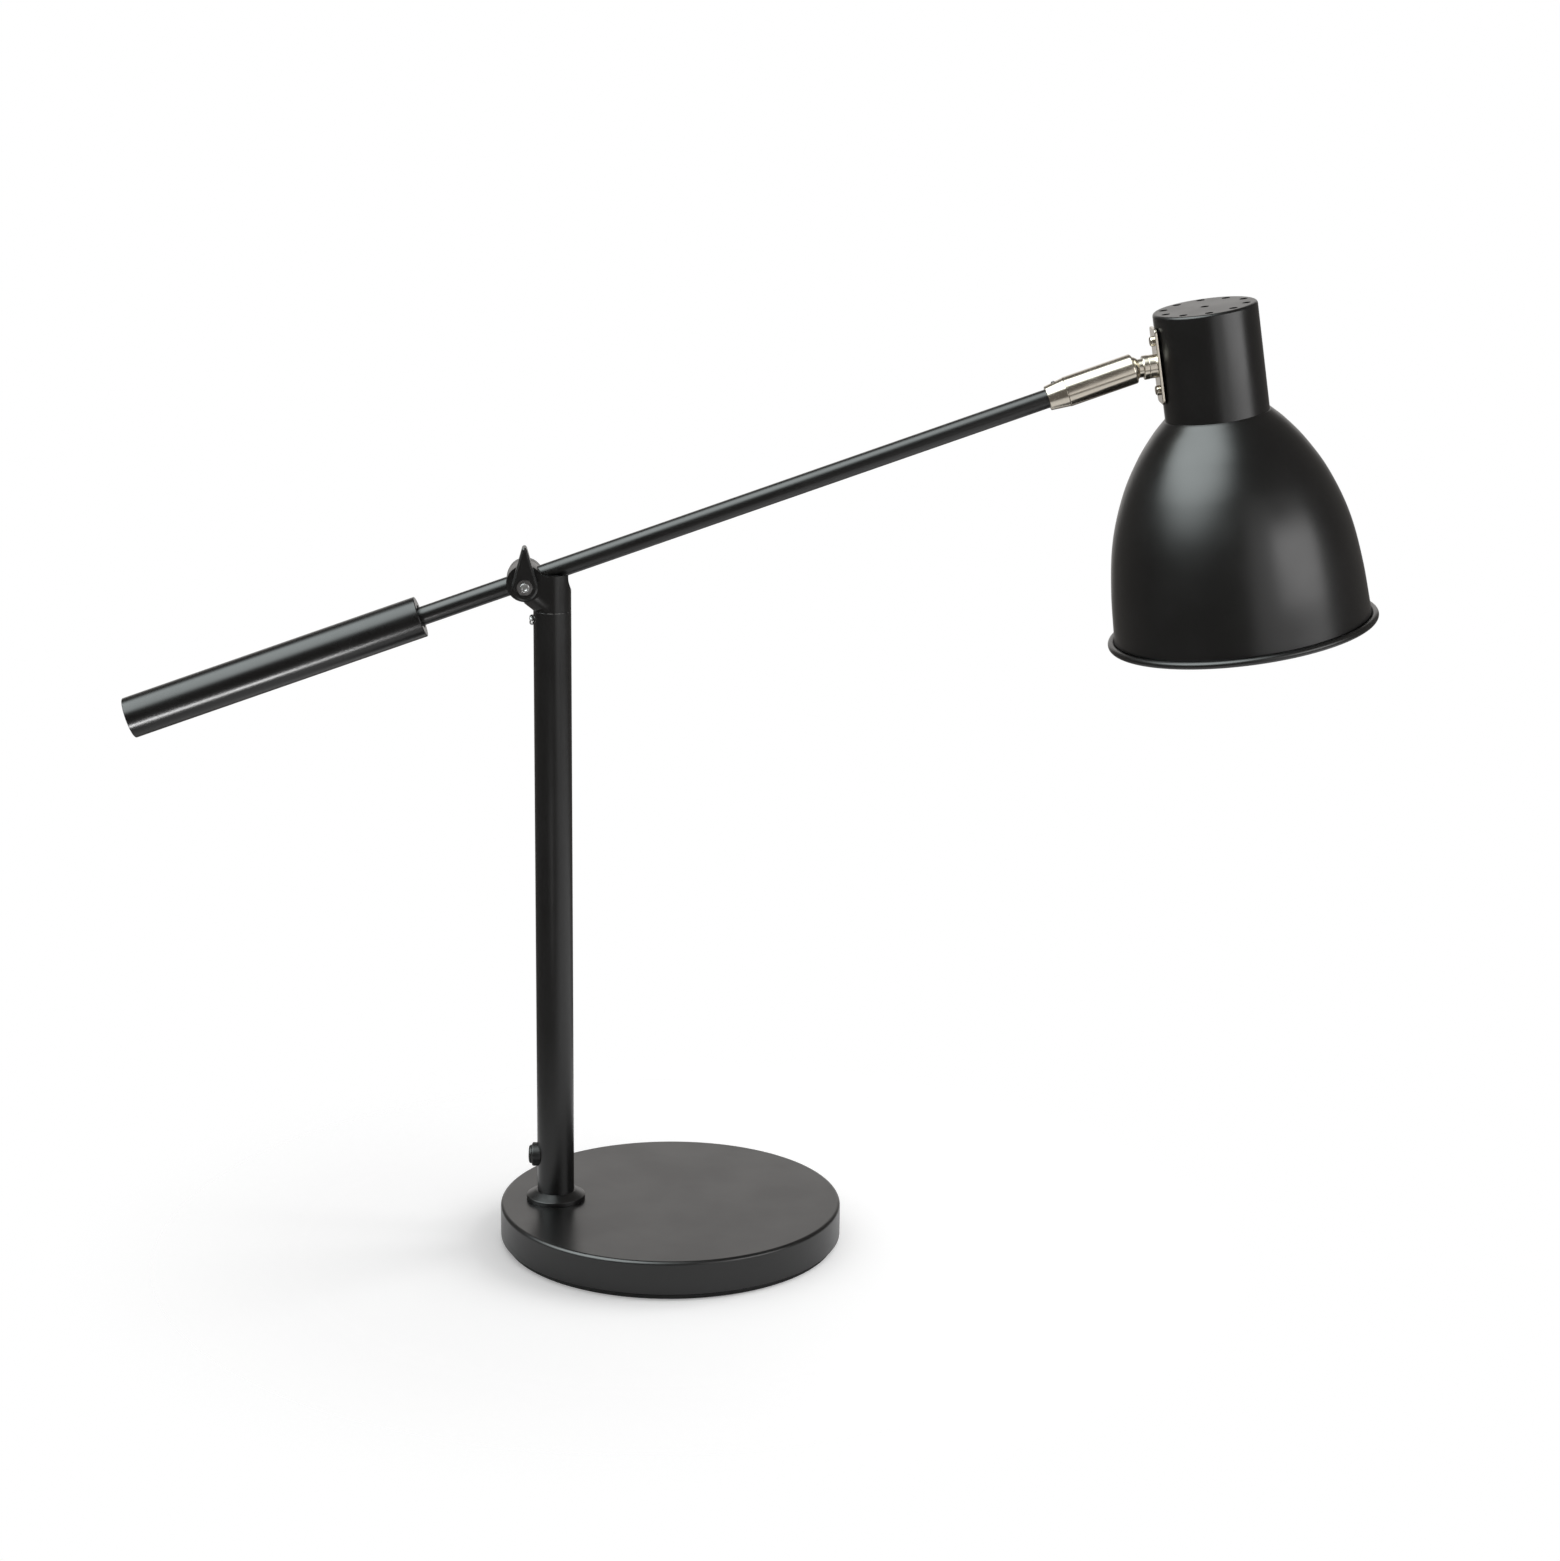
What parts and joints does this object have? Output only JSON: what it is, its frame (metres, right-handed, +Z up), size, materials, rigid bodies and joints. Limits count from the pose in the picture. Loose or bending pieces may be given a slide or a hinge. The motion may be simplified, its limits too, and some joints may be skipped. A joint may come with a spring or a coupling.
{
  "type": "desk lamp",
  "caption": "Desk lamp with a round weighted base, an offset upright post, a tilting arm with a bar counterweight, a clamp lever and a bell shade on a swivel.",
  "frame": {"origin": "centre of the underside of the round base, on the table", "axes": "+Z up; the post stands 63 mm to -X of the centre and the arm points to +X, turned 3.5 degrees towards +Y; +Y is the back, where the mains lead enters"},
  "size_m": [0.6643, 0.1925, 0.5146],
  "materials": {
    "base_black": "satin",
    "post_black": "satin",
    "head_black": "satin",
    "weight_black": "satin",
    "shade_black": "satin",
    "iron": "matte",
    "zinc": "satin",
    "nickel": "satin",
    "brass": "satin",
    "soft_pad": "matte",
    "black_plastic": "satin",
    "white_plastic": "gloss",
    "nylon": "satin",
    "lead_black": "satin",
    "porcelain": "gloss",
    "bulb_glass": "gloss"
  },
  "bodies": {
    "base": {"base_cover": "base_black", "foot_pad": "soft_pad", "closing_plate": "base_black", "plate_screws": "zinc", "base_weight": "iron", "inlet_bush": "black_plastic", "terminal_block": "white_plastic", "post_tube": "post_black", "foot_plug": "zinc", "foot_nipple": "zinc", "foot_washer": "zinc", "foot_nut": "zinc", "post_collar": "post_black", "switch_bezel": "black_plastic", "switch_body": "black_plastic", "head_screw": "post_black", "post_lead": "lead_black"},
    "switch_button": {"switch_button": "black_plastic"},
    "head": {"pivot_head": "head_black", "friction_washers": "nylon", "pivot_bolt": "zinc", "bolt_cap": "black_plastic", "clamp_spacer": "head_black", "clamp_spring_washer": "zinc"},
    "clamp_lever": {"clamp_lever": "head_black", "lever_nut": "zinc"},
    "arm": {"arm_hub": "head_black", "arm_tube": "post_black", "counterweight": "weight_black", "counterweight_grub": "zinc", "arm_lead": "lead_black", "swivel_cone": "nickel", "cone_screw": "zinc"},
    "swivel": {"swivel_ring": "zinc", "swivel_housing": "nickel", "ball_seat": "nylon", "disc_springs": "zinc"},
    "shade": {"ball_stem": "nickel", "bracket_plate": "nickel", "bracket_screws": "nickel", "bracket_nuts": "zinc", "shade": "shade_black", "holder_strap": "zinc", "holder_nipple": "zinc", "holder_nut": "zinc", "holder_cap": "black_plastic", "holder_shell": "black_plastic", "holder_insulator": "porcelain", "screw_shell": "nickel", "centre_contact": "brass", "bulb_cap": "zinc", "bulb_glass": "bulb_glass"}
  },
  "joints": [
    {"name": "switch_press", "type": "slide", "parent": "base", "child": "switch_button", "axis": [1, 0, 0], "range_m": [0, 0.0015], "stiffness_N_per_m": 1200},
    {"name": "head_swivel", "type": "hinge", "parent": "base", "child": "head", "pos_m": [-0.063, 0, 0.35], "axis": [0, 0, 1], "range_deg": [-163.5, 156.5]},
    {"name": "lever_turn", "type": "hinge", "parent": "head", "child": "clamp_lever", "pos_m": [-0.07707, -0.00086, 0.3659], "axis": [0.061, -0.9981, 0], "range_deg": [0, 100]},
    {"name": "arm_tilt", "type": "hinge", "parent": "head", "child": "arm", "pos_m": [-0.07707, -0.00086, 0.3659], "axis": [0.061, -0.9981, 0], "range_deg": [-19.4, 40.6]},
    {"name": "shade_roll", "type": "hinge", "parent": "arm", "child": "swivel", "pos_m": [0.20913, 0.01664, 0.46688], "axis": [0.9415, 0.0576, 0.3322], "range_deg": [-170, 170]},
    {"name": "shade_tilt", "type": "hinge", "parent": "swivel", "child": "shade", "pos_m": [0.23785, 0.0184, 0.47701], "axis": [0.0714, -0.997, -0.0296], "range_deg": [-7.5, 28]}
  ]
}
